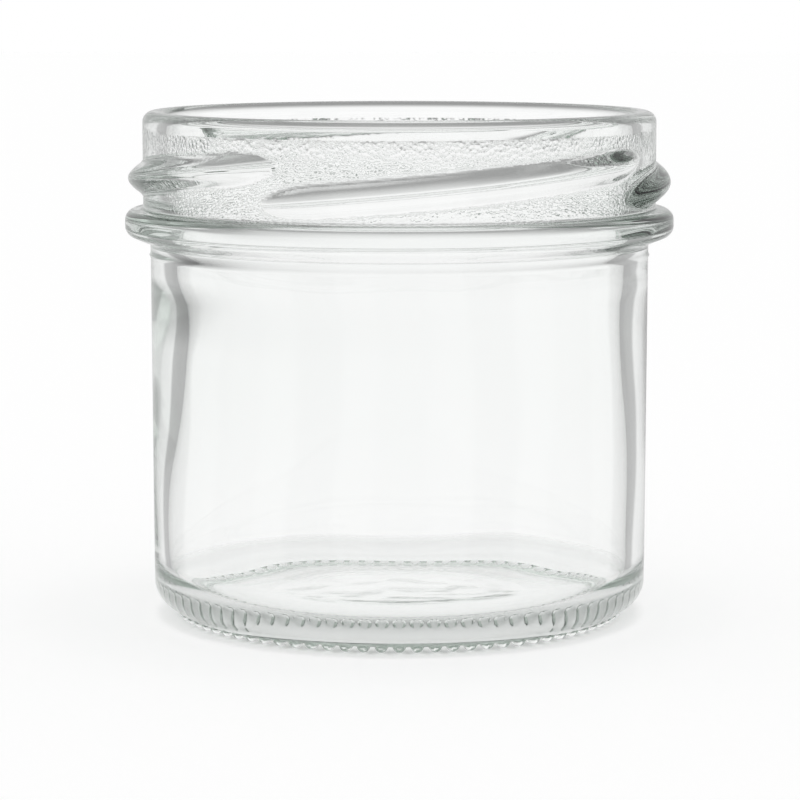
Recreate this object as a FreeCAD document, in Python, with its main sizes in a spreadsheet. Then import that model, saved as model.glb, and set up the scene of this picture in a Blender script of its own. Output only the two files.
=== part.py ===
import FreeCAD, Part
import math
import os

import Sketcher
from FreeCAD import Placement, Rotation, Vector

# A tapered glass jar for preserves: empty, without its lid, pressed and blown in one piece.
# Its neck, called the finish, has four thread lugs that a twist-off lid grips in a quarter turn.
# Below the lugs a bead runs round, by which the jar is carried through the bottling line.
# The foot is a narrow bearing ring with a row of small knurls, round a shallow push-up.
#
# Frame, in millimetres: the origin is on the jar's axis, on the surface that it stands on.
# +Z runs up the axis. Angles are measured about +Z, from +X towards +Y.

# Each size of the jar: its name, its value and what it is. Angles are in degrees.
SIZES = [
    ("jar_height", 61.7, "from the ground to the rim"),
    ("body_radius", 30.35, "outside of the body, at the shoulder"),
    ("body_taper", 0.15, "how much narrower the body is at the heel"),
    ("heel_height", 2.5, "from the ground to the corner of the heel"),
    ("heel_width", 2.5, "how far the heel draws in to the bearing ring"),
    ("heel_round", 2.9, "rounding where the body turns into the heel"),
    ("ring_width", 2.4, "width of the bearing ring"),
    ("ring_round", 0.3, "rounding of both edges of the bearing ring"),
    ("knurl_count", 80, "knurls round the bearing ring"),
    ("knurl_height", 0.5, "how far the knurls stand down from the ring"),
    ("knurl_radius", 0.82, "radius of a knurl at its root"),
    ("knurl_flat", 0.4, "radius of the flat that a knurl stands on"),
    ("push_up_height", 1.9, "from the ground to the top of the push-up"),
    ("push_up_step", 0.75, "rise of the steep edge of the push-up"),
    ("push_up_slope", 1.6, "width of the steep edge of the push-up"),
    ("push_up_round", 1.0, "rounding above that steep edge"),
    ("bead_drop", 11.35, "from the rim down to the upper root of the bead"),
    ("bead_upper_slope", 0.7, "fall of the bead's upper side"),
    ("bead_crest", 2.7, "height of the bead's face"),
    ("bead_lower_slope", 1.2, "fall of the bead's under side, down to the body"),
    ("bead_proud", 2.2, "how far the bead stands out from the finish"),
    ("bead_round", 1.25, "rounding of both edges of the bead"),
    ("bead_fillet", 0.5, "fillet at both roots of the bead"),
    ("parting_drop", 1.45, "from the shoulder down to the mould's parting line"),
    ("parting_proud", 0.1, "how far the parting line stands out"),
    ("parting_width", 0.5, "half the height of the parting line inside the wall"),
    ("parting_root", 0.5, "depth to which the parting line runs into the wall"),
    ("finish_radius", 31.2, "outside of the finish, between the lugs"),
    ("finish_wall", 2.8, "thickness of the glass at the mouth"),
    ("throat_depth", 10.0, "straight length of the mouth"),
    ("throat_round", 10.0, "rounding at the lower end of the mouth"),
    ("lip_outer_round", 1.3, "rounding of the rim on the outside"),
    ("lip_inner_round", 1.1, "rounding of the rim on the inside"),
    ("lug_count", 4, "thread lugs"),
    ("lug_proud", 1.8, "how far a lug stands out from the finish"),
    ("lug_round", 1.85, "radius of a lug's rounded section"),
    ("lug_drop", 9.75, "from the rim down to the middle of a lug's low tip"),
    ("lug_rise", 4.5, "climb of a lug from its low tip to its high tip"),
    ("lug_start", 59.0, "angle at the low tip of the first lug"),
    ("lug_sweep", 95.0, "angle that a lug covers, tips included"),
    ("lug_nose", 13.0, "angle over which each tip sinks into the wall"),
    ("lug_root", 0.9, "depth to which a lug runs into the wall"),
    ("heel_wall", 2.4, "thickness of the wall at the heel"),
    ("belly_wall", 2.5, "thickness of the wall low on the body"),
    ("belly_height", 22.0, "from the ground to that part of the wall"),
    ("belly_round", 40.0, "rounding of the inside there"),
    ("waist_wall", 3.7, "thickness of the wall at its thickest"),
    ("waist_height", 36.0, "from the ground to that thickest wall"),
    ("waist_round", 25.0, "rounding of the inside there"),
    ("neck_wall", 2.7, "thickness of the wall at the shoulder"),
    ("neck_round", 8.0, "rounding of the inside there"),
    ("floor_height", 3.8, "from the ground to the edge of the inner floor"),
    ("floor_rise", 0.5, "how much higher the inner floor is in the middle"),
    ("floor_round", 3.2, "rounding between the inner floor and the wall"),
]

# Heights and radii that several outlines share, worked out from the sizes.
RING_RADIUS = "sizes.body_radius - sizes.body_taper - sizes.heel_width"
RING_INNER_RADIUS = RING_RADIUS + " - sizes.ring_width"
KNURL_CENTRE = RING_RADIUS + " - sizes.ring_width / 2"
PUSH_UP_RADIUS = RING_INNER_RADIUS + " - sizes.push_up_slope"
PUSH_UP_EDGE = "sizes.knurl_height + sizes.push_up_step"
HEEL_RADIUS = "sizes.body_radius - sizes.body_taper"
BEAD_TOP = "sizes.jar_height - sizes.bead_drop"
BEAD_HIGH = BEAD_TOP + " - sizes.bead_upper_slope"
BEAD_LOW = BEAD_HIGH + " - sizes.bead_crest"
SHOULDER_HEIGHT = BEAD_LOW + " - sizes.bead_lower_slope"
BEAD_RADIUS = "sizes.finish_radius + sizes.bead_proud"
MOUTH_RADIUS = "sizes.finish_radius - sizes.finish_wall"
THROAT_HEIGHT = "sizes.jar_height - sizes.throat_depth"
NECK_RADIUS = "sizes.body_radius - sizes.neck_wall"
WAIST_RADIUS = "sizes.body_radius - sizes.waist_wall"
BELLY_RADIUS = "sizes.body_radius - sizes.belly_wall"
INNER_HEEL_RADIUS = HEEL_RADIUS + " - sizes.heel_wall"

# Sections along a lug, evenly spaced, and how a tip sinks: 1 is straight, and more is later.
LUG_SECTIONS = 17
NOSE_POWER = 2.0

doc = FreeCAD.newDocument("tapered_glass_jar")
sheet = doc.addObject("Spreadsheet::Sheet", "sizes")
for row, (alias, value, meaning) in enumerate(SIZES, 1):
    sheet.set(f"A{row}", str(value))
    sheet.setAlias(f"A{row}", alias)
    sheet.set(f"B{row}", meaning)
doc.recompute()


def measure(expression):
    """The value of an expression on the sheet's sizes."""
    return float(sheet.evalExpression(expression))


def sketch_through_axis(body, name, azimuth=None):
    """A sketch in a plane through the jar's axis: its X runs outwards and its Y runs up."""
    sketch = body.newObject("Sketcher::SketchObject", name)
    plane = next(item for item in body.Origin.OriginFeatures if item.Role == "XZ_Plane")
    sketch.AttachmentSupport = (plane, [""])
    sketch.MapMode = "FlatFace"
    if azimuth:
        sketch.AttachmentOffset = Placement(Vector(), Rotation(Vector(0, 1, 0), measure(azimuth)))
        sketch.setExpression("AttachmentOffset.Rotation.Angle", azimuth)
    return sketch


def bind(sketch, name, constraint, expression):
    """Add a named constraint whose value follows an expression on the sheet's sizes."""
    number = sketch.addConstraint(constraint)
    sketch.renameConstraint(number, name)
    sketch.setExpression(f"Constraints.{name}", expression)


def place(sketch, name, edge, end, across, up):
    """Hold one end of an edge at a radius and a height, where "0" is on the axis or the ground."""
    origin, ground, jar_axis = (-1, 1), -1, -2
    if across == "0":
        sketch.addConstraint(Sketcher.Constraint("PointOnObject", edge, end, jar_axis))
    else:
        distance = Sketcher.Constraint("DistanceX", *origin, edge, end, measure(across))
        bind(sketch, f"{name}_across", distance, across)
    if up == "0":
        sketch.addConstraint(Sketcher.Constraint("PointOnObject", edge, end, ground))
    else:
        distance = Sketcher.Constraint("DistanceY", *origin, edge, end, measure(up))
        bind(sketch, f"{name}_up", distance, up)


def outline(sketch, corners):
    """A closed outline of straight edges between corners, with some of the corners rounded.

    A corner is its radius, its height and the name of its rounding, which may be None.
    """
    starts, ends = 1, 2
    points = [Vector(measure(across), measure(up), 0) for across, up, _ in corners]
    for number, point in enumerate(points):
        sketch.addGeometry(Part.LineSegment(point, points[(number + 1) % len(points)]))
    for number, (across, up, _) in enumerate(corners):
        before = number - 1 if number else len(corners) - 1
        sketch.addConstraint(Sketcher.Constraint("Coincident", before, ends, number, starts))
        place(sketch, f"corner_{number}", number, starts, across, up)
    for number, (_, _, rounding) in enumerate(corners):
        if rounding is None:
            continue
        arc = sketch.GeometryCount
        radius = measure("sizes." + rounding)
        trim_edges, keep_corner = True, True
        sketch.fillet(number, starts, radius, trim_edges, keep_corner)
        bind(sketch, f"round_{number}", Sketcher.Constraint("Radius", arc, radius), "sizes." + rounding)


def turned(body, name, sketch, axis="V_Axis"):
    """A full turn of a sketch about an axis in its own plane, added to the body."""
    feature = body.newObject("PartDesign::Revolution", name)
    feature.Profile = sketch
    feature.ReferenceAxis = (sketch, [axis])
    feature.Angle = 360
    doc.recompute()
    return feature


def polar_pattern(body, name, feature, count):
    """Repeat a feature round the jar's axis."""
    pattern = body.newObject("PartDesign::PolarPattern", name)
    pattern.Originals = [feature]
    axis = next(item for item in body.Origin.OriginFeatures if item.Role == "Z_Axis")
    pattern.Axis = (axis, [""])
    pattern.Angle = 360
    pattern.setExpression("Occurrences", "sizes." + count)
    body.Tip = pattern
    doc.recompute()
    return pattern


def add_glass(body):
    """The glass without its lugs and knurls: one section of the wall, turned about the axis."""
    section = sketch_through_axis(body, "glass_section")
    outline(section, [
        # Under the jar: the push-up, its steep edge and the bearing ring.
        ("0", "sizes.push_up_height", None),
        (PUSH_UP_RADIUS, PUSH_UP_EDGE, "push_up_round"),
        (RING_INNER_RADIUS, "sizes.knurl_height", "ring_round"),
        (RING_RADIUS, "sizes.knurl_height", "ring_round"),
        # Up the outside: the heel, the body, the bead and the finish.
        (HEEL_RADIUS, "sizes.heel_height", "heel_round"),
        ("sizes.body_radius", SHOULDER_HEIGHT, "bead_fillet"),
        (BEAD_RADIUS, BEAD_LOW, "bead_round"),
        (BEAD_RADIUS, BEAD_HIGH, "bead_round"),
        ("sizes.finish_radius", BEAD_TOP, "bead_fillet"),
        ("sizes.finish_radius", "sizes.jar_height", "lip_outer_round"),
        # Down the inside: the mouth, the wall that blowing left uneven, and the floor.
        (MOUTH_RADIUS, "sizes.jar_height", "lip_inner_round"),
        (MOUTH_RADIUS, THROAT_HEIGHT, "throat_round"),
        (NECK_RADIUS, SHOULDER_HEIGHT, "neck_round"),
        (WAIST_RADIUS, "sizes.waist_height", "waist_round"),
        (BELLY_RADIUS, "sizes.belly_height", "belly_round"),
        (INNER_HEEL_RADIUS, "sizes.floor_height", "floor_round"),
        ("0", "sizes.floor_height + sizes.floor_rise", None),
    ])
    turned(body, "glass", section)


def add_parting_line(body):
    """The fine ridge where the mould of the body met the mould of the neck."""
    middle = f"{SHOULDER_HEIGHT} - sizes.parting_drop"
    inside_wall = "sizes.body_radius - sizes.parting_root"
    section = sketch_through_axis(body, "parting_section")
    outline(section, [
        (inside_wall, f"{middle} - sizes.parting_width", None),
        ("sizes.body_radius + sizes.parting_proud", middle, None),
        (inside_wall, f"{middle} + sizes.parting_width", None),
    ])
    turned(body, "parting_line", section)


def lug_section(body, number):
    """One section of a lug: an arc that stands out of the wall, closed by a chord in the glass.

    Near both tips the arc sinks into the wall, slowly at first and then faster.
    """
    share = number / (LUG_SECTIONS - 1)
    past_tip = measure("sizes.lug_sweep") * min(share, 1 - share)
    sunk = max(0, 1 - past_tip / measure("sizes.lug_nose")) ** NOSE_POWER
    section = sketch_through_axis(body, f"lug_section_{number}",
                                  f"sizes.lug_start + sizes.lug_sweep * {share:.4f}")
    chord = "sizes.finish_radius - sizes.lug_root"
    across = f"sizes.finish_radius + sizes.lug_proud - sizes.lug_round * {1 + sunk:.4f}"
    up = f"sizes.jar_height - sizes.lug_drop + sizes.lug_rise * {share:.4f}"
    centre = Vector(measure(across), measure(up), 0)
    radius = measure("sizes.lug_round")
    half_turn = math.acos((measure(chord) - centre.x) / radius)
    circle = Part.Circle(centre, Vector(0, 0, 1), radius)
    crest = Part.ArcOfCircle(circle, -half_turn, half_turn)
    arc = section.addGeometry(crest)
    line = section.addGeometry(Part.LineSegment(crest.EndPoint, crest.StartPoint))
    origin, starts, ends, middle = (-1, 1), 1, 2, 3
    section.addConstraint(Sketcher.Constraint("Coincident", arc, ends, line, starts))
    section.addConstraint(Sketcher.Constraint("Coincident", line, ends, arc, starts))
    section.addConstraint(Sketcher.Constraint("Vertical", line))
    place(section, "centre", arc, middle, across, up)
    bind(section, "round", Sketcher.Constraint("Radius", arc, radius), "sizes.lug_round")
    depth = Sketcher.Constraint("DistanceX", *origin, line, starts, measure(chord))
    bind(section, "chord", depth, chord)
    return section


def add_lugs(body):
    """The thread: four lugs that climb to the right, each with both tips sunk into the wall."""
    sections = [lug_section(body, number) for number in range(LUG_SECTIONS)]
    doc.recompute()
    lug = body.newObject("PartDesign::AdditiveLoft", "lug")
    lug.Profile = sections[0]
    lug.Sections = sections[1:]
    doc.recompute()
    polar_pattern(body, "lugs", lug, "lug_count")


def add_knurls(body):
    """The knurls that the jar stands on, which keep its base from chilling and scuffing."""
    section = sketch_through_axis(body, "knurl_section")
    root = "sizes.knurl_height * 2"
    outline(section, [
        (KNURL_CENTRE, "0", None),
        (f"{KNURL_CENTRE} + sizes.knurl_flat", "0", None),
        (f"{KNURL_CENTRE} + sizes.knurl_radius", "sizes.knurl_height", None),
        (f"{KNURL_CENTRE} + sizes.knurl_radius", root, None),
        (KNURL_CENTRE, root, None),
    ])
    first_edge, start, construction = 0, 1, True
    low = Vector(measure(KNURL_CENTRE), 0, 0)
    knurl_axis = section.addGeometry(Part.LineSegment(low, low + Vector(0, 1, 0)), construction)
    section.addConstraint(Sketcher.Constraint("Coincident", knurl_axis, start, first_edge, start))
    section.addConstraint(Sketcher.Constraint("Vertical", knurl_axis))
    knurl = turned(body, "knurl", section, "Axis0")
    polar_pattern(body, "knurls", knurl, "knurl_count")


def make_jar():
    """The whole jar, one piece of glass."""
    body = doc.addObject("PartDesign::Body", "jar")
    body.Label = "jar"
    add_glass(body)
    add_parting_line(body)
    add_lugs(body)
    add_knurls(body)
    return body


def check_document(pieces):
    """Stop on anything that failed to compute, and on a piece that isn't one valid solid."""
    failed = [item.Name for item in doc.Objects if {"Invalid", "Error"} & set(item.State)]
    if failed:
        raise RuntimeError("failed to compute: " + ", ".join(failed))
    for piece in pieces:
        shape = piece.Shape
        if shape.isNull() or not shape.isValid() or len(shape.Solids) != 1:
            raise RuntimeError(piece.Label + " isn't one valid solid")


pieces = [make_jar()]
doc.recompute()
check_document(pieces)
os.makedirs("parts", exist_ok=True)
for piece in pieces:
    piece.Shape.exportStep(f"parts/{piece.Label}.step")
    box = piece.Shape.optimalBoundingBox(False, False)
    print(f"{piece.Label}: {box.XLength:.2f} x {box.YLength:.2f} x {box.ZLength:.2f} mm,",
          f"{piece.Shape.Volume / 1000:.2f} cm3 of glass, {len(piece.Shape.Faces)} faces")
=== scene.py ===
# %% [markdown]
# # A tapered glass jar, empty and without its lid
#
# The jar is one piece of clear glass. From the floor up it has a bearing ring with small knurls,
# a chamfered heel, a body that tapers a little, a bead, and a finish, which is the part with four
# thread lugs that a twist-off lid grips. Glass shows both of its sides at once. So this scene
# models the outside, the inside and the underside as one closed skin, and light that bends
# through the skin does the rest.

# %% Load the frame and measure it
import bmesh
import bpy
import math
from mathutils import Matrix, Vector, noise


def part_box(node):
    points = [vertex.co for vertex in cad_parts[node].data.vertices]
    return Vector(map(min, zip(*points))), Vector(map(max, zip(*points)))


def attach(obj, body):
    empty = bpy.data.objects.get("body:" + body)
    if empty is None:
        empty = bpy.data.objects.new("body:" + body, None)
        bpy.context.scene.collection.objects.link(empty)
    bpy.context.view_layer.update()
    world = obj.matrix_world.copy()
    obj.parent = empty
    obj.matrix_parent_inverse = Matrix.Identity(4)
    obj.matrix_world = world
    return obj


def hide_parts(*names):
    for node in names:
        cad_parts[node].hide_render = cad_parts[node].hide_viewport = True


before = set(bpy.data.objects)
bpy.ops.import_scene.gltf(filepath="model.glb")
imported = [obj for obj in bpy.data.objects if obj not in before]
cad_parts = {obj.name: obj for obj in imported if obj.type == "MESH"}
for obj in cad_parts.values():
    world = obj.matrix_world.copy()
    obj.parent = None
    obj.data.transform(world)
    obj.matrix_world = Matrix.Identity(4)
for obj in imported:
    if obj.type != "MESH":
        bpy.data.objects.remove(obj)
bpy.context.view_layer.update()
jar_low, jar_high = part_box("jar")
MM = 0.001
rim = jar_high.z / MM
bead_radius = jar_high.x / MM
print(f"the jar is {rim:.1f} mm tall and {2 * bead_radius:.1f} mm across its bead")

# %% [markdown]
# ## The camera
#
# The jar is looked at from a little above its rim, from a short way off, so that the rim and the
# base show as narrow ellipses. A long lens at that distance keeps the sides nearly parallel.

# %% The camera
CAMERA_DISTANCE = 0.3954
CAMERA_HEIGHT = 0.0777
CAMERA_PITCH = math.radians(7.43)
CAMERA_SIDE = 0.00007
CAMERA_LENS = 145.8

camera_data = bpy.data.cameras.new("camera")
camera_data.lens = CAMERA_LENS
camera = bpy.data.objects.new("camera", camera_data)
camera.location = (CAMERA_SIDE, -CAMERA_DISTANCE, CAMERA_HEIGHT)
camera.rotation_euler = (math.pi / 2 - CAMERA_PITCH, 0, 0)
bpy.context.scene.collection.objects.link(camera)
bpy.context.scene.camera = camera
print(f"the camera stands {CAMERA_DISTANCE} m in front, {CAMERA_HEIGHT} m up")

# %% [markdown]
# ## The section of the wall
#
# Apart from its lugs and knurls, a jar is a solid of revolution. It could be built from stacked
# cylinders, but then each rounding would be a joint to hide. So its section is drawn first, in
# the plane y = 0, as a person would draw it: one point is pulled from corner to corner, and then
# the corners are rounded. The line starts on the axis under the jar, runs up the outside and
# over the rim, and comes down the inside to the axis again.

# %% Sizes of the section, in millimetres
finish_radius = bead_radius - 2.2
mouth_radius = finish_radius - 2.8
body_radius = 30.35
heel_radius = body_radius - 0.15
ring_outer = heel_radius - 2.5
ring_inner = ring_outer - 2.8
ring_height = 0.9
bead_top = rim - 11.75
bead_high = bead_top - 0.2
bead_low = bead_high - 2.8
shoulder = bead_low - 1.2
seam_height = shoulder - 1.45
seam_reach = 0.3
seam_proud = 0.15
floor_height = 2.8
lip_height = 2.2
throat_height = rim - 10.0

# %% Corners of the section
# A corner: its radius, its height, its rounding, and the cuts in the edge that leads to it.
SECTION = [
    # Under the jar: the push-up, its edge and the bearing ring.
    (0.0, 1.7, 0, 0),
    (14.0, 1.4, 0, 6),
    (ring_inner - 1.6, 1.1, 1.0, 4),
    (ring_inner, ring_height, 0.3, 2),
    (ring_outer, ring_height, 0.3, 11),
    # Up the outside: the heel, the body with its seam, the bead and the finish.
    (heel_radius, 2.7, 2.9, 2),
    (body_radius - 0.01, seam_height - seam_reach, 0, 8),
    (body_radius + seam_proud, seam_height, 0, 0),
    (body_radius, seam_height + seam_reach, 0, 0),
    (body_radius, shoulder, 0.5, 0),
    (bead_radius, bead_low, 1.25, 2),
    (bead_radius, bead_high, 1.25, 0),
    (finish_radius, bead_top, 0.4, 2),
    (finish_radius, rim - lip_height, 0, 34),
    (finish_radius, rim, 1.3, 0),
    # Down the inside: the mouth, the wall and the floor.
    (mouth_radius, rim, 0.9, 0),
    (mouth_radius, throat_height, 8, 6),
    (27.6, shoulder - 2.0, 8, 3),
    (27.9, 20.0, 0, 24),
    (28.1, floor_height - 0.6, 4.6, 8),
    (20.0, floor_height, 0, 4),
    (0.0, floor_height + 0.6, 0, 8),
]
print(f"the section has {len(SECTION)} corners")

# %% [markdown]
# Every operator in edit mode works on what is selected. So each step starts with nothing
# selected, and small helpers select by place.


# %% Helpers for editing
def deselect_all():
    """Leave no mode open and nothing selected."""
    if bpy.context.object and bpy.context.object.mode != "OBJECT":
        bpy.ops.object.mode_set(mode="OBJECT")
    bpy.ops.object.select_all(action="DESELECT")


def select_parts(piece, kind, wanted):
    """In edit mode, select the vertices, edges or faces that pass a test, and count them."""
    bpy.ops.mesh.select_all(action="DESELECT")
    bpy.ops.mesh.select_mode(type={"verts": "VERT", "edges": "EDGE", "faces": "FACE"}[kind])
    mesh = bmesh.from_edit_mesh(piece.data)
    for part in getattr(mesh, kind):
        part.select = bool(wanted(part))
    mesh.select_flush_mode()
    bmesh.update_edit_mesh(piece.data)
    return sum(part.select for part in getattr(mesh, kind))


def corner_point(corner):
    """A corner of the section as a point in the plane y = 0, in metres."""
    return Vector((corner[0] * MM, 0, corner[1] * MM))


# %% Draw the section from corner to corner
deselect_all()
bpy.ops.mesh.primitive_plane_add(size=MM, location=(0, 0, 0))
jar = bpy.context.object
jar.name = jar.data.name = "clear_glass_jar"
bpy.ops.object.mode_set(mode="EDIT")
bpy.ops.mesh.merge(type="CENTER")
here = corner_point(SECTION[0])
bpy.ops.transform.translate(value=here)
for corner in SECTION[1:]:
    there = corner_point(corner)
    bpy.ops.mesh.extrude_vertices_move(TRANSFORM_OT_translate={"value": there - here})
    here = there
print(f"{len(SECTION)} corners drawn")

# %% [markdown]
# A bevel on a corner's vertex turns it into an arc. The bevel is told how far back along both
# edges the arc starts, which follows from its radius and from how far the outline turns there.
# An arc gets one segment for about every nine degrees, and two at least.

# %% Round the corners
ARC_STEP = math.radians(9)
TOUCHING = 1e-6

for before, corner, after in zip(SECTION, SECTION[1:], SECTION[2:]):
    rounding = corner[2] * MM
    if not rounding:
        continue
    place = corner_point(corner)
    turn = (place - corner_point(before)).angle(corner_point(after) - place)
    select_parts(jar, "verts", lambda vertex: (vertex.co - place).length < TOUCHING)
    bpy.ops.mesh.bevel(affect="VERTICES", offset=rounding * math.tan(turn / 2),
                       segments=max(2, round(turn / ARC_STEP)))
print(f"{sum(corner[2] > 0 for corner in SECTION)} corners rounded")

# %% [markdown]
# The lugs will be pushed out of the finish, and the waist out of the inner wall, by moving
# vertices that are there already. So the edges that they need are cut into short pieces now,
# while each is one line.

# %% Cut the straight edges
for before, corner in zip(SECTION, SECTION[1:]):
    if not corner[3]:
        continue
    first, last = corner_point(before), corner_point(corner)
    along = (last - first).normalized()

    def lies_between(vertex):
        """Whether a vertex is on the line from the first point to the last."""
        offset = vertex.co - first
        reach = offset.dot(along)
        beside = (offset - along * reach).length
        return beside < TOUCHING and -TOUCHING < reach < (last - first).length + TOUCHING

    select_parts(jar, "edges", lambda edge: all(lies_between(vertex) for vertex in edge.verts))
    bpy.ops.mesh.subdivide(number_cuts=corner[3])
print(f"the section has {len(bmesh.from_edit_mesh(jar.data).verts)} points")

# %% [markdown]
# ## The jar in the round
#
# Spin turns the section about the axis. The last step lands on the first, and the points on the
# axis land on themselves, so vertices that touch are merged. That closes the seam and both poles,
# and leaves one watertight skin whose normals can then be made to point outward.

# %% Spin it into the jar
SPIN_STEPS = 256

bpy.ops.mesh.select_all(action="SELECT")
bpy.ops.mesh.spin(steps=SPIN_STEPS, angle=2 * math.pi, center=(0, 0, 0), axis=(0, 0, 1))
bpy.ops.mesh.select_all(action="SELECT")
bpy.ops.mesh.remove_doubles(threshold=TOUCHING)
bpy.ops.mesh.select_all(action="SELECT")
bpy.ops.mesh.normals_make_consistent(inside=False)
print(f"the skin has {len(bmesh.from_edit_mesh(jar.data).faces)} faces")

# %% [markdown]
# A knurl is under two millimetres wide, and the spin's steps are too coarse for it. Only the
# edges that run round the bearing ring are cut finer, so the rest of the jar stays light.

# %% Cut the bearing ring finer, for its knurls
RING_CUTS = 4


def on_ring(edge):
    """Whether an edge runs round the bearing ring."""
    first, last = (Vector((vertex.co.x, vertex.co.y)).length / MM for vertex in edge.verts)
    low = all(vertex.co.z < (ring_height + 0.2) * MM for vertex in edge.verts)
    return low and abs(first - last) < 0.001 and ring_inner - 0.2 < first < ring_outer + 0.2


print(select_parts(jar, "edges", on_ring), "edges round the bearing ring")
bpy.ops.mesh.subdivide(number_cuts=RING_CUTS, smoothness=0)
bpy.ops.object.mode_set(mode="OBJECT")

# %% [markdown]
# ## Relief by weight
#
# Lugs and knurls could be separate solids joined to the jar, but a join leaves a crease, and
# glass shows every crease twice. Here they are pushed out of the skin instead. For each vertex a
# function of its place gives a share, from 0 for not moved to 1 for moved all the way, and a
# Displace modifier moves the vertex by that share. Places are given in cylinder measure.


# %% Where a vertex is
def polar(point):
    """Radius in millimetres, angle in degrees from the front towards +X, and height."""
    radius = math.hypot(point.x, point.y) / MM
    return radius, math.degrees(math.atan2(point.x, -point.y)), point.z / MM


def on_finish(radius, height):
    """Whether a place is on the outside of the finish, between the bead and the lip."""
    return radius > finish_radius - 0.01 and bead_high < height < rim - lip_height - 0.1


# %% [markdown]
# ### Thread lugs
#
# A lug is part of a screw thread. It climbs as it goes round, its section is a rounded ridge, and
# its two tips sink into the wall. Four of them overlap a little, so that a lid finds one
# wherever it is set down.

# %% Thread lugs
LUG_COUNT = 4
LUG_PROUD = 1.8
LUG_HALF_HEIGHT = 2.1
LUG_DROP = 8.3
LUG_START = -31.0
LUG_SWEEP = 95.0
LUG_NOSE = 13.0
LUG_RISE = 0.048
LUG_FLANK = 1.3


def lug_height(angle, height):
    """How far the lugs stand out of the finish there, in millimetres."""
    spacing = 360 / LUG_COUNT
    past_start = (angle - LUG_START) % spacing
    proud = 0
    for along in (past_start, past_start + spacing):
        if along > LUG_SWEEP:
            continue
        middle = rim - LUG_DROP + LUG_RISE * (LUG_START + along)
        across = (height - middle) / LUG_HALF_HEIGHT
        crest = LUG_PROUD * max(0, 1 - across ** 2) ** LUG_FLANK
        to_tip = min(along, LUG_SWEEP - along)
        sunk = LUG_PROUD * max(0, 1 - to_tip / LUG_NOSE) ** 2
        proud = max(proud, crest - sunk)
    return proud


def lug_above_skin(radius, angle, height):
    """How far the lugs stand above the skin there, which is already proud at the bead."""
    if not on_finish(radius, height):
        return 0
    return max(0, lug_height(angle, height) - max(0, radius - finish_radius))


# %% [markdown]
# ### Knurls
#
# The jar stands on 80 small domes. They keep the base from scuffing and let air under it while
# the glass cools. Each is an oval, longer across the ring than round it.

# %% Knurls
KNURL_COUNT = 80
KNURL_ROUND = 0.85
KNURL_DEEP = 1.35
KNURL_DOME = 0.6
knurl_centre = ring_outer - 1.3


def knurl_share(radius, angle, height):
    """The share of its full height that a knurl has there."""
    if radius <= ring_inner or height >= ring_height + 0.01:
        return 0
    pitch = 360 / KNURL_COUNT
    off_centre = (angle - 90 + pitch / 2) % pitch - pitch / 2
    along = math.radians(off_centre) * knurl_centre
    distance = math.hypot(along / KNURL_ROUND, (radius - knurl_centre) / KNURL_DEEP)
    return max(0, 1 - distance ** 2) ** KNURL_DOME


# %% [markdown]
# ### The inner wall
#
# The inside is shaped by air and not by a mould, so it is uneven. It is thickest at a waist below
# the shoulder, more on one side than on the other. This is what draws the dark upright lines
# inside both edges of a glass jar. The change fades out towards the floor and the throat, and a
# slow noise over it keeps it from looking turned on a lathe.

# %% The inner wall
WAIST_HEIGHT = 32.0
WAIST_ABOVE = 10.0
WAIST_BELOW = 12.0
WAIST_THICK = 1.15
WAIST_LEAN = 0.6
UNEVEN = 0.12
UNEVEN_ROUND = 2.2
UNEVEN_UP = 0.08
THICK_MOST = 2.6
ABOVE_FLOOR = 2.0
FLOOR_FADE = 4.0
throat_end = rim - 9.0
THROAT_FADE = 6.0


def wall_thickening(angle, height):
    """How much thicker the blown wall is there than its section says, in millimetres."""
    reach = WAIST_ABOVE if height > WAIST_HEIGHT else WAIST_BELOW
    waist = math.exp(-((height - WAIST_HEIGHT) / reach) ** 2)
    turn = math.radians(angle)
    spot = Vector((math.sin(turn) * UNEVEN_ROUND, -math.cos(turn) * UNEVEN_ROUND, height * UNEVEN_UP))
    return waist * (WAIST_THICK - WAIST_LEAN * math.sin(turn)) + UNEVEN * (noise.noise(spot) + 0.5)


def thick_share(radius, angle, height):
    """The share of the greatest thickening that the inner wall has there."""
    above_floor = height - floor_height - ABOVE_FLOOR
    below_throat = throat_end - height
    if radius >= mouth_radius + 0.1 or above_floor <= 0 or below_throat <= 0:
        return 0
    fade = min(1, above_floor / FLOOR_FADE) * min(1, below_throat / THROAT_FADE)
    return wall_thickening(angle, height) * fade / THICK_MOST


# %% [markdown]
# ### Where the finishes lie
#
# Two finishes of the glass change over its surface: the fine grain on the finish between the
# lugs, and a soft mottle under the floor. Each is given as a share too, which the material reads
# later. The grain is strongest in a band under the lip and fades towards both sides, where the
# two halves of the mould would meet. A lug has none.

# %% Where the finishes lie
GRAIN_EVERYWHERE = 0.25
GRAIN_BAND_DROP = 3.2
GRAIN_BAND_REACH = 1.0
SEAM_FADE = 0.85
SEAM_FADE_START = 0.66
SEAM_FADE_WIDTH = 0.22
GRAIN_OFF_LUG = 0.12
MOTTLE_RADIUS = 15


def grain_share(radius, angle, height):
    """How grainy the outside of the finish is there."""
    if height <= bead_top or not on_finish(radius, height):
        return 0.0
    from_band = (height - (rim - GRAIN_BAND_DROP)) / GRAIN_BAND_REACH
    band = GRAIN_EVERYWHERE + (1 - GRAIN_EVERYWHERE) * math.exp(-from_band ** 2)
    to_seam = abs(math.sin(math.radians(angle)))
    face_on = 1 - SEAM_FADE * min(1, max(0, (to_seam - SEAM_FADE_START) / SEAM_FADE_WIDTH))
    return band * face_on * max(0, 1 - lug_above_skin(radius, angle, height) / GRAIN_OFF_LUG)


def mottle_share(radius, angle, height):
    """How mottled the base is there: most in the middle, and none at the mottle's edge."""
    in_base = radius < MOTTLE_RADIUS and height < floor_height + 0.2
    return max(0, 1 - (radius / MOTTLE_RADIUS) ** 4) if in_base else 0.0


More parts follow.
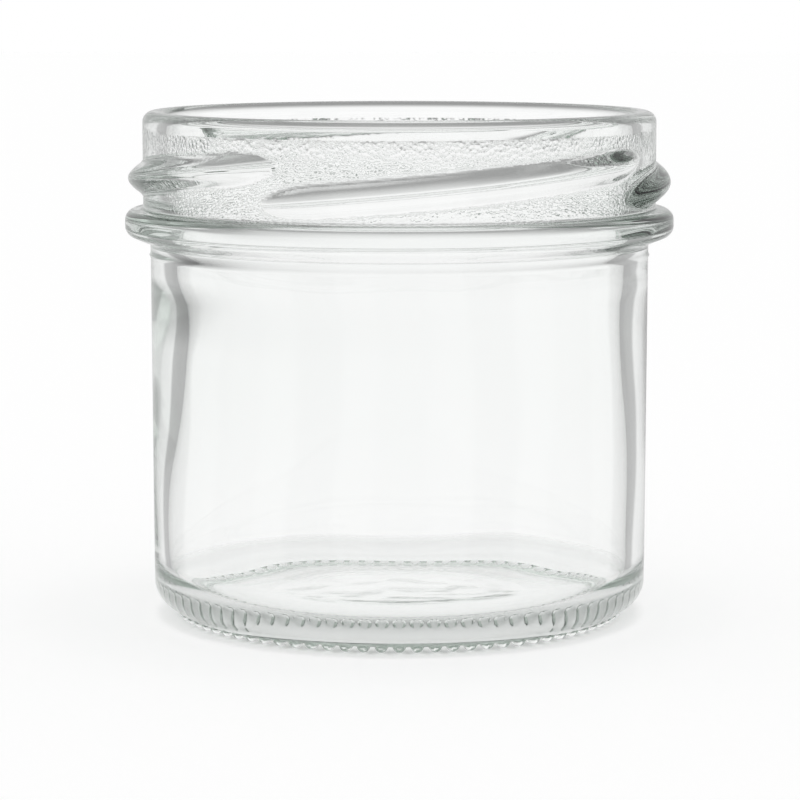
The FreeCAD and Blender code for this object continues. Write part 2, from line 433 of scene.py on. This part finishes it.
# %% Work out the shares on the plain skin
SHARES = {
    "lugs": lambda *place: lug_above_skin(*place) / LUG_PROUD,
    "thick": thick_share,
    "knurls": knurl_share,
    "grain": grain_share,
    "mottle": mottle_share,
}
places = [polar(vertex.co) for vertex in jar.data.vertices]
weights = {name: [share(*place) for place in places] for name, share in SHARES.items()}
for name, shares in weights.items():
    print(f"{name}: {sum(share > 0 for share in shares)} vertices")

# %% [markdown]
# Lugs and wall are pushed straight out from the axis and knurls straight down. A Displace
# modifier can follow custom normals, so each vertex is given one that points level and outward.
# Afterwards the custom normals go, and the whole skin is shaded smooth.

# %% Push the relief out of the skin
outward = []
for vertex in jar.data.vertices:
    flat = Vector((vertex.co.x, vertex.co.y, 0))
    outward.append(flat.normalized() if flat.length > TOUCHING else Vector((1, 0, 0)))
jar.data.normals_split_custom_set_from_vertices(outward)


def displace(name, strength, direction):
    """Push the vertices that have a share, each by that share, and apply it."""
    group = jar.vertex_groups.new(name=name)
    for index, weight in enumerate(weights[name]):
        if weight > 0:
            group.add([index], weight, "REPLACE")
    push = jar.modifiers.new(name, "DISPLACE")
    push.vertex_group = name
    push.direction = direction
    push.mid_level = 0
    push.strength = strength * MM
    bpy.ops.object.modifier_apply(modifier=push.name)


bpy.context.view_layer.objects.active = jar
jar.select_set(True)
displace("lugs", LUG_PROUD, "CUSTOM_NORMAL")
displace("thick", -THICK_MOST, "CUSTOM_NORMAL")
displace("knurls", -ring_height, "Z")

# %% Keep the finishes as attributes, and shade the skin smooth
for finish in ("grain", "mottle"):
    mask = jar.data.attributes.new(finish, "FLOAT", "POINT")
    mask.data.foreach_set("value", weights[finish])
bpy.ops.mesh.customdata_custom_splitnormals_clear()
bpy.ops.object.shade_smooth()
jar.vertex_groups.clear()
triangles = sum(len(face.vertices) - 2 for face in jar.data.polygons)
print(f"{jar.name}: {len(jar.data.vertices)} vertices, {triangles} triangles")

# %% [markdown]
# ## Nodes as arithmetic
#
# A material's maths reads best as arithmetic. The class below wraps the output of a node, and
# Python's own signs on it add Math nodes. Every other kind of node comes from one function,
# which sets the node's options first and then fills or links its sockets.


# %% Nodes as arithmetic
def add_node(tree, kind, options=None, sockets=None):
    """Add a node, set its options, then give each named socket a value or a link."""
    node = tree.nodes.new(kind)
    for name, value in (options or {}).items():
        setattr(node, name, value)
    for name, value in (sockets or {}).items():
        if isinstance(value, Output):
            tree.links.new(value.socket, node.inputs[name])
        else:
            node.inputs[name].default_value = value
    return node


class Output:
    """The output of a node. Arithmetic on it adds Math nodes to its tree."""

    def __init__(self, node, name=0):
        self.socket = node.outputs[name]
        self.tree = node.id_data

    def math(self, operation, first, second=0.0):
        return Output(add_node(self.tree, "ShaderNodeMath", {"operation": operation},
                               {0: first, 1: second}))

    def __add__(self, other):
        return self.math("ADD", self, other)

    def __radd__(self, other):
        return self.math("ADD", other, self)

    def __sub__(self, other):
        return self.math("SUBTRACT", self, other)

    def __rsub__(self, other):
        return self.math("SUBTRACT", other, self)

    def __mul__(self, other):
        return self.math("MULTIPLY", self, other)

    def __rmul__(self, other):
        return self.math("MULTIPLY", other, self)

    def __gt__(self, other):
        return self.math("GREATER_THAN", self, other)

    def __lt__(self, other):
        return self.math("LESS_THAN", self, other)

    def up_to(self, most):
        return self.math("MINIMUM", self, most)

    def at_least(self, least):
        return self.math("MAXIMUM", self, least)

    def cosine(self):
        return self.math("COSINE", self)

    def as_power_of(self, base):
        return self.math("POWER", base, self)

    def rise(self, start, end):
        """0 before start, 1 past end, and a smooth rise between them."""
        return Output(add_node(self.tree, "ShaderNodeMapRange",
                               {"interpolation_type": "SMOOTHSTEP"},
                               {"Value": self, "From Min": start, "From Max": end}))


def new_tree(owner):
    """Switch an owner's nodes on and clear them."""
    owner.use_nodes = True
    owner.node_tree.nodes.clear()
    return owner.node_tree


# %% [markdown]
# ## Clear glass
#
# Jar glass is clear, with a trace of green where light goes a long way through it. That is a
# Principled shader with full transmission, and an absorption inside the wall, so that a thick
# edge is greener than a thin wall. The finish is finely grained between its lugs, from Voronoi
# cells in a bump, with a little roughness. The grain comes in patches and lies where its
# attribute says. The mottle under the floor is a much softer bump from a noise.

# %% Patterns on the glass
GRAIN_SIZE = 0.50
GRAIN_DEPTH = 0.38
GRAIN_ROUGHNESS = 0.05
PATCH_SIZE = 3.5
PATCH_SHARE = 0.55
PATCH_FROM, PATCH_TO = 0.35, 0.6
MOTTLE_SIZE = 4.5
MOTTLE_DEPTH = 0.22

glass = bpy.data.materials.new("clear glass")
nodes = new_tree(glass)
place = Output(add_node(nodes, "ShaderNodeTexCoord"), "Object")
grain = Output(add_node(nodes, "ShaderNodeAttribute", {"attribute_name": "grain"}), "Fac")
mottle = Output(add_node(nodes, "ShaderNodeAttribute", {"attribute_name": "mottle"}), "Fac")
grains = Output(add_node(nodes, "ShaderNodeTexVoronoi", {"feature": "F1"},
                         {"Vector": place, "Scale": 1 / (GRAIN_SIZE * MM)}), "Distance")
patches = Output(add_node(nodes, "ShaderNodeTexNoise", None,
                          {"Vector": place, "Scale": 1 / (PATCH_SIZE * MM), "Detail": 2.0}))
waves = Output(add_node(nodes, "ShaderNodeTexNoise", None,
                        {"Vector": place, "Scale": 1 / (MOTTLE_SIZE * MM), "Detail": 0.0}))
grain_here = grain * ((1 - PATCH_SHARE) + patches.rise(PATCH_FROM, PATCH_TO) * PATCH_SHARE)
relief = grains * grain_here * GRAIN_DEPTH + waves * mottle * MOTTLE_DEPTH
bump = Output(add_node(nodes, "ShaderNodeBump", None,
                       {"Strength": 1.0, "Distance": MM, "Height": relief}))

# %% Clear glass
GLASS_IOR = 1.52
GLASS_TINT = (0.76, 0.82, 0.78, 1)
GLASS_DENSITY = 30.0

shader = add_node(nodes, "ShaderNodeBsdfPrincipled", None,
                  {"Base Color": (1, 1, 1, 1), "IOR": GLASS_IOR, "Transmission Weight": 1.0,
                   "Roughness": grain_here * GRAIN_ROUGHNESS, "Normal": bump})
absorption = add_node(nodes, "ShaderNodeVolumeAbsorption", None,
                      {"Color": GLASS_TINT, "Density": GLASS_DENSITY})
add_node(nodes, "ShaderNodeOutputMaterial", None,
         {"Surface": Output(shader), "Volume": Output(absorption)})
jar.data.materials.append(glass)
print(f"{glass.name}: {len(nodes.nodes)} nodes")

# %% [markdown]
# ## The floor
#
# The jar stands on a white floor without an edge, which keeps its shadow. Light that has come
# through the glass sees the floor only close to the jar. Further out it goes on into the studio,
# so the glass shows the dimmer light below a table's edge, as it would on a small white table.

# %% The floor
FLOOR_SIZE = 6.0
TABLE_NEAR, TABLE_FAR = 0.034, 0.06

deselect_all()
bpy.ops.mesh.primitive_plane_add(size=FLOOR_SIZE, location=(0, 0, 0))
floor = bpy.context.object
floor.name = "floor"
white = bpy.data.materials.new("white floor")
nodes = new_tree(white)
light = add_node(nodes, "ShaderNodeLightPath")
straight = Output(light, "Is Camera Ray")
lit = Output(light, "Diffuse Depth").up_to(1.0)
spot = Output(add_node(nodes, "ShaderNodeNewGeometry"), "Position")
distance = add_node(nodes, "ShaderNodeVectorMath", {"operation": "LENGTH"}, {0: spot})
off_table = Output(distance, "Value").rise(TABLE_NEAR, TABLE_FAR) * (1.0 - straight) * (1.0 - lit)
cover = add_node(nodes, "ShaderNodeMixShader", None, {
    "Fac": off_table,
    1: Output(add_node(nodes, "ShaderNodeBsdfDiffuse", None, {"Color": (1, 1, 1, 1)})),
    2: Output(add_node(nodes, "ShaderNodeBsdfTransparent"))})
add_node(nodes, "ShaderNodeOutputMaterial", None, {"Surface": Output(cover)})
floor.data.materials.append(white)
print(f"a white floor {FLOOR_SIZE} m wide")

# %% [markdown]
# ## The studio
#
# Clear glass has no colour to light: it shows its surroundings, bent. Against plain white it all
# but disappears. So whoever lights glass keeps the background white and lets darker surfaces
# stand out of view, where only the rays that the glass bends most can find them. Here the world
# is white to the camera and to the floor. Rays from the glass find it dimmer far overhead and
# below the table, and rays that a wall has reflected inside itself find upright dark strips.
# These are a device for showing the glass, and not a model of any real room.

# %% How bright the studio is in each direction
OVERHEAD = 0.7
OVERHEAD_FROM, OVERHEAD_TO = math.radians(40), math.radians(80)
BELOW = 0.3
BELOW_FROM, BELOW_TO = math.radians(-32), math.radians(-10)
STRIPS = 8
STRIP_DEPTH = 0.38
STRIP_CONTRAST = 0.16
STRIP_FROM, STRIP_TO = -0.45, 0.1

world = bpy.data.worlds.new("studio")
bpy.context.scene.world = world
nodes = new_tree(world)
ray = add_node(nodes, "ShaderNodeSeparateXYZ", None, {
    "Vector": Output(add_node(nodes, "ShaderNodeTexCoord"), "Generated")})
across, away, up = Output(ray, "X"), Output(ray, "Y"), Output(ray, "Z")
elevation = up.math("ARCSINE", up)
heading = across.math("ARCTAN2", across, away)
overhead = 1.0 - elevation.rise(OVERHEAD_FROM, OVERHEAD_TO) * (1 - OVERHEAD)
level = BELOW + elevation.rise(BELOW_FROM, BELOW_TO) * (1 - BELOW)
strip = (heading * STRIPS).cosine().rise(STRIP_FROM, STRIP_TO)
depth = STRIP_DEPTH - (heading * (STRIPS / 2)).cosine() * STRIP_CONTRAST
strips = 1.0 - strip * depth

# %% [markdown]
# Light Path counts how often a ray has been reflected and how often it has passed through glass.
# Reflected with one or two passes means reflected inside the wall. Reflected with none means
# mirrored off the front. Light that reaches the floor after passing through the glass loses a
# little at each reflection.

# %% What each kind of ray finds
PER_TURN = 0.9
IN_FRONT = 0.7
FROM_WALL = 0.94

light = add_node(nodes, "ShaderNodeLightPath")
turns = Output(light, "Glossy Depth")
reflected = turns.up_to(1.0)
passes = Output(light, "Transmission Depth")
in_the_wall = reflected * (passes > 0.5) * (passes < 2.5)
off_the_front = reflected * (passes < 0.5)
wall_dims = 1.0 + in_the_wall * (strips * FROM_WALL - 1.0)
front_dims = 1.0 - off_the_front * (1 - IN_FRONT)
studio = overhead * level * (wall_dims * front_dims)
lit = Output(light, "Diffuse Depth").up_to(1.0)
straight = Output(light, "Is Camera Ray")
floor_light = turns.as_power_of(PER_TURN).at_least(1.0 - passes)
plain = straight.at_least(lit)
strength = studio + plain * (straight.at_least(floor_light) - studio)
backdrop = add_node(nodes, "ShaderNodeBackground", None,
                    {"Color": (1, 1, 1, 1), "Strength": strength})
add_node(nodes, "ShaderNodeOutputWorld", None, {"Surface": Output(backdrop)})
print(f"{world.name}: {len(nodes.nodes)} nodes")

# %% [markdown]
# ## Light paths through glass
#
# A ray may cross this jar's walls many times, so it is followed for longer than usual. Shiny
# surfaces are also kept sharp for light on its way to the floor: by default they are blurred
# there, which makes the shadow of clear glass too dark.

# %% Light paths through glass
GLASS_BOUNCES = 28
SOFT_BOUNCES = 4

bpy.context.scene.view_settings.view_transform = "Standard"
cycles = bpy.context.scene.cycles
cycles.max_bounces = cycles.transmission_bounces = cycles.glossy_bounces = GLASS_BOUNCES
cycles.diffuse_bounces = SOFT_BOUNCES
cycles.blur_glossy = 0
print(f"a ray is followed for up to {GLASS_BOUNCES} bounces")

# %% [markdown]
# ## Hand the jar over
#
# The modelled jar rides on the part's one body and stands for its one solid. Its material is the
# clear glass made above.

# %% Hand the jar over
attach(jar, "root")
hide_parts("jar")
